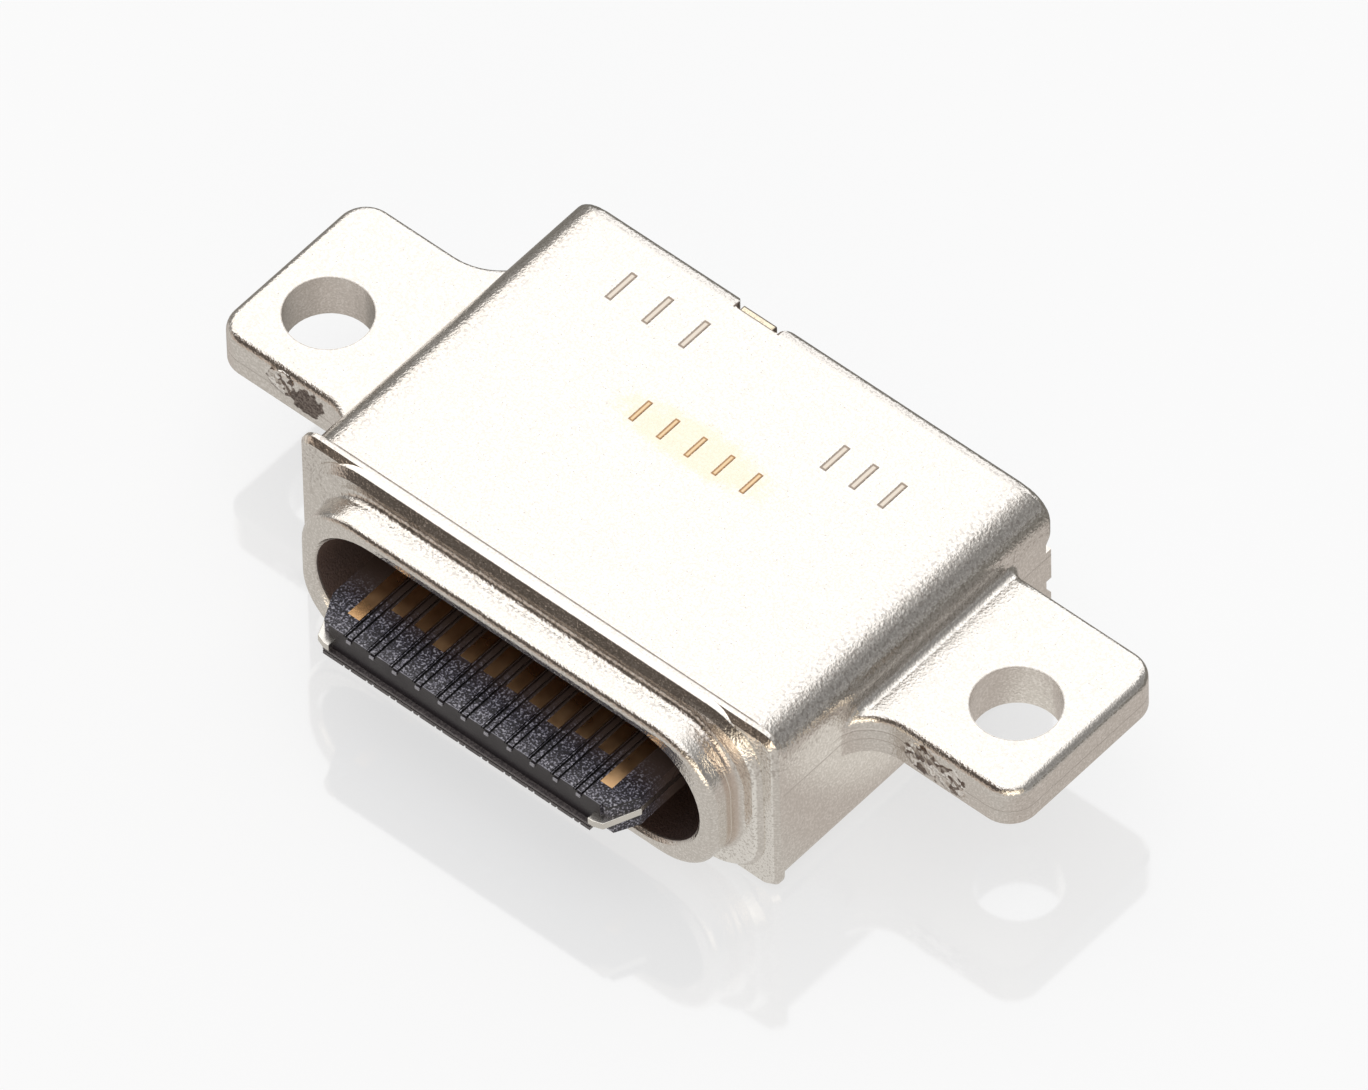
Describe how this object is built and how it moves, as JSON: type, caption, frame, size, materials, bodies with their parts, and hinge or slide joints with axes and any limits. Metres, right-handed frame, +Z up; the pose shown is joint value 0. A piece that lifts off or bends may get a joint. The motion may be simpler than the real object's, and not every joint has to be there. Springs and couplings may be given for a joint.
{
  "type": "usb-c socket",
  "caption": "Screw-on usb-c socket: a seamless moulded metal shell with a flanged mouth and two staggered screw ears, round a black contact tongue that stands out of it",
  "frame": {"origin": "centre of the part in plan, on the plane of its lowest point, which is the underside of the front flange", "axes": "+X runs across the port to the ear that lies further back, +Y from the mouth to the solder tails, +Z up, away from the board"},
  "size_m": [0.0168, 0.0098, 0.0038],
  "materials": {
    "moulded_shell": "satin nickel over a moulded metal body, with fine specks",
    "rear_plate_steel": "plain bright stamped sheet",
    "mid_plate_steel": "bright cut edge",
    "ground_plate_steel": "satin rolled sheet",
    "gold_contact": "thin satin gold plating",
    "black_resin": "matt moulded resin with a faint sheen",
    "carrier_resin": "matt moulded resin",
    "seal_resin": "smooth poured resin"
  },
  "bodies": {
    "root": {"ground_contact_a1": "gold_contact", "signal_contact_a2": "gold_contact", "signal_contact_a3": "gold_contact", "power_contact_a4": "gold_contact", "signal_contact_a5": "gold_contact", "signal_contact_a6": "gold_contact", "signal_contact_a7": "gold_contact", "signal_contact_a8": "gold_contact", "power_contact_a9": "gold_contact", "signal_contact_a10": "gold_contact", "signal_contact_a11": "gold_contact", "ground_contact_a12": "gold_contact", "ground_contact_b1": "gold_contact", "signal_contact_b2": "gold_contact", "signal_contact_b3": "gold_contact", "power_contact_b4": "gold_contact", "signal_contact_b5": "gold_contact", "signal_contact_b6": "gold_contact", "signal_contact_b7": "gold_contact", "signal_contact_b8": "gold_contact", "power_contact_b9": "gold_contact", "signal_contact_b10": "gold_contact", "signal_contact_b11": "gold_contact", "ground_contact_b12": "gold_contact", "mid_plate": "mid_plate_steel", "upper_contact_carrier": "carrier_resin", "lower_contact_carrier": "carrier_resin", "upper_ground_plate": "ground_plate_steel", "lower_ground_plate": "ground_plate_steel", "tongue_insulator": "black_resin", "rear_seal": "seal_resin", "rear_plate": "rear_plate_steel", "shell": "moulded_shell"}
  },
  "joints": []
}
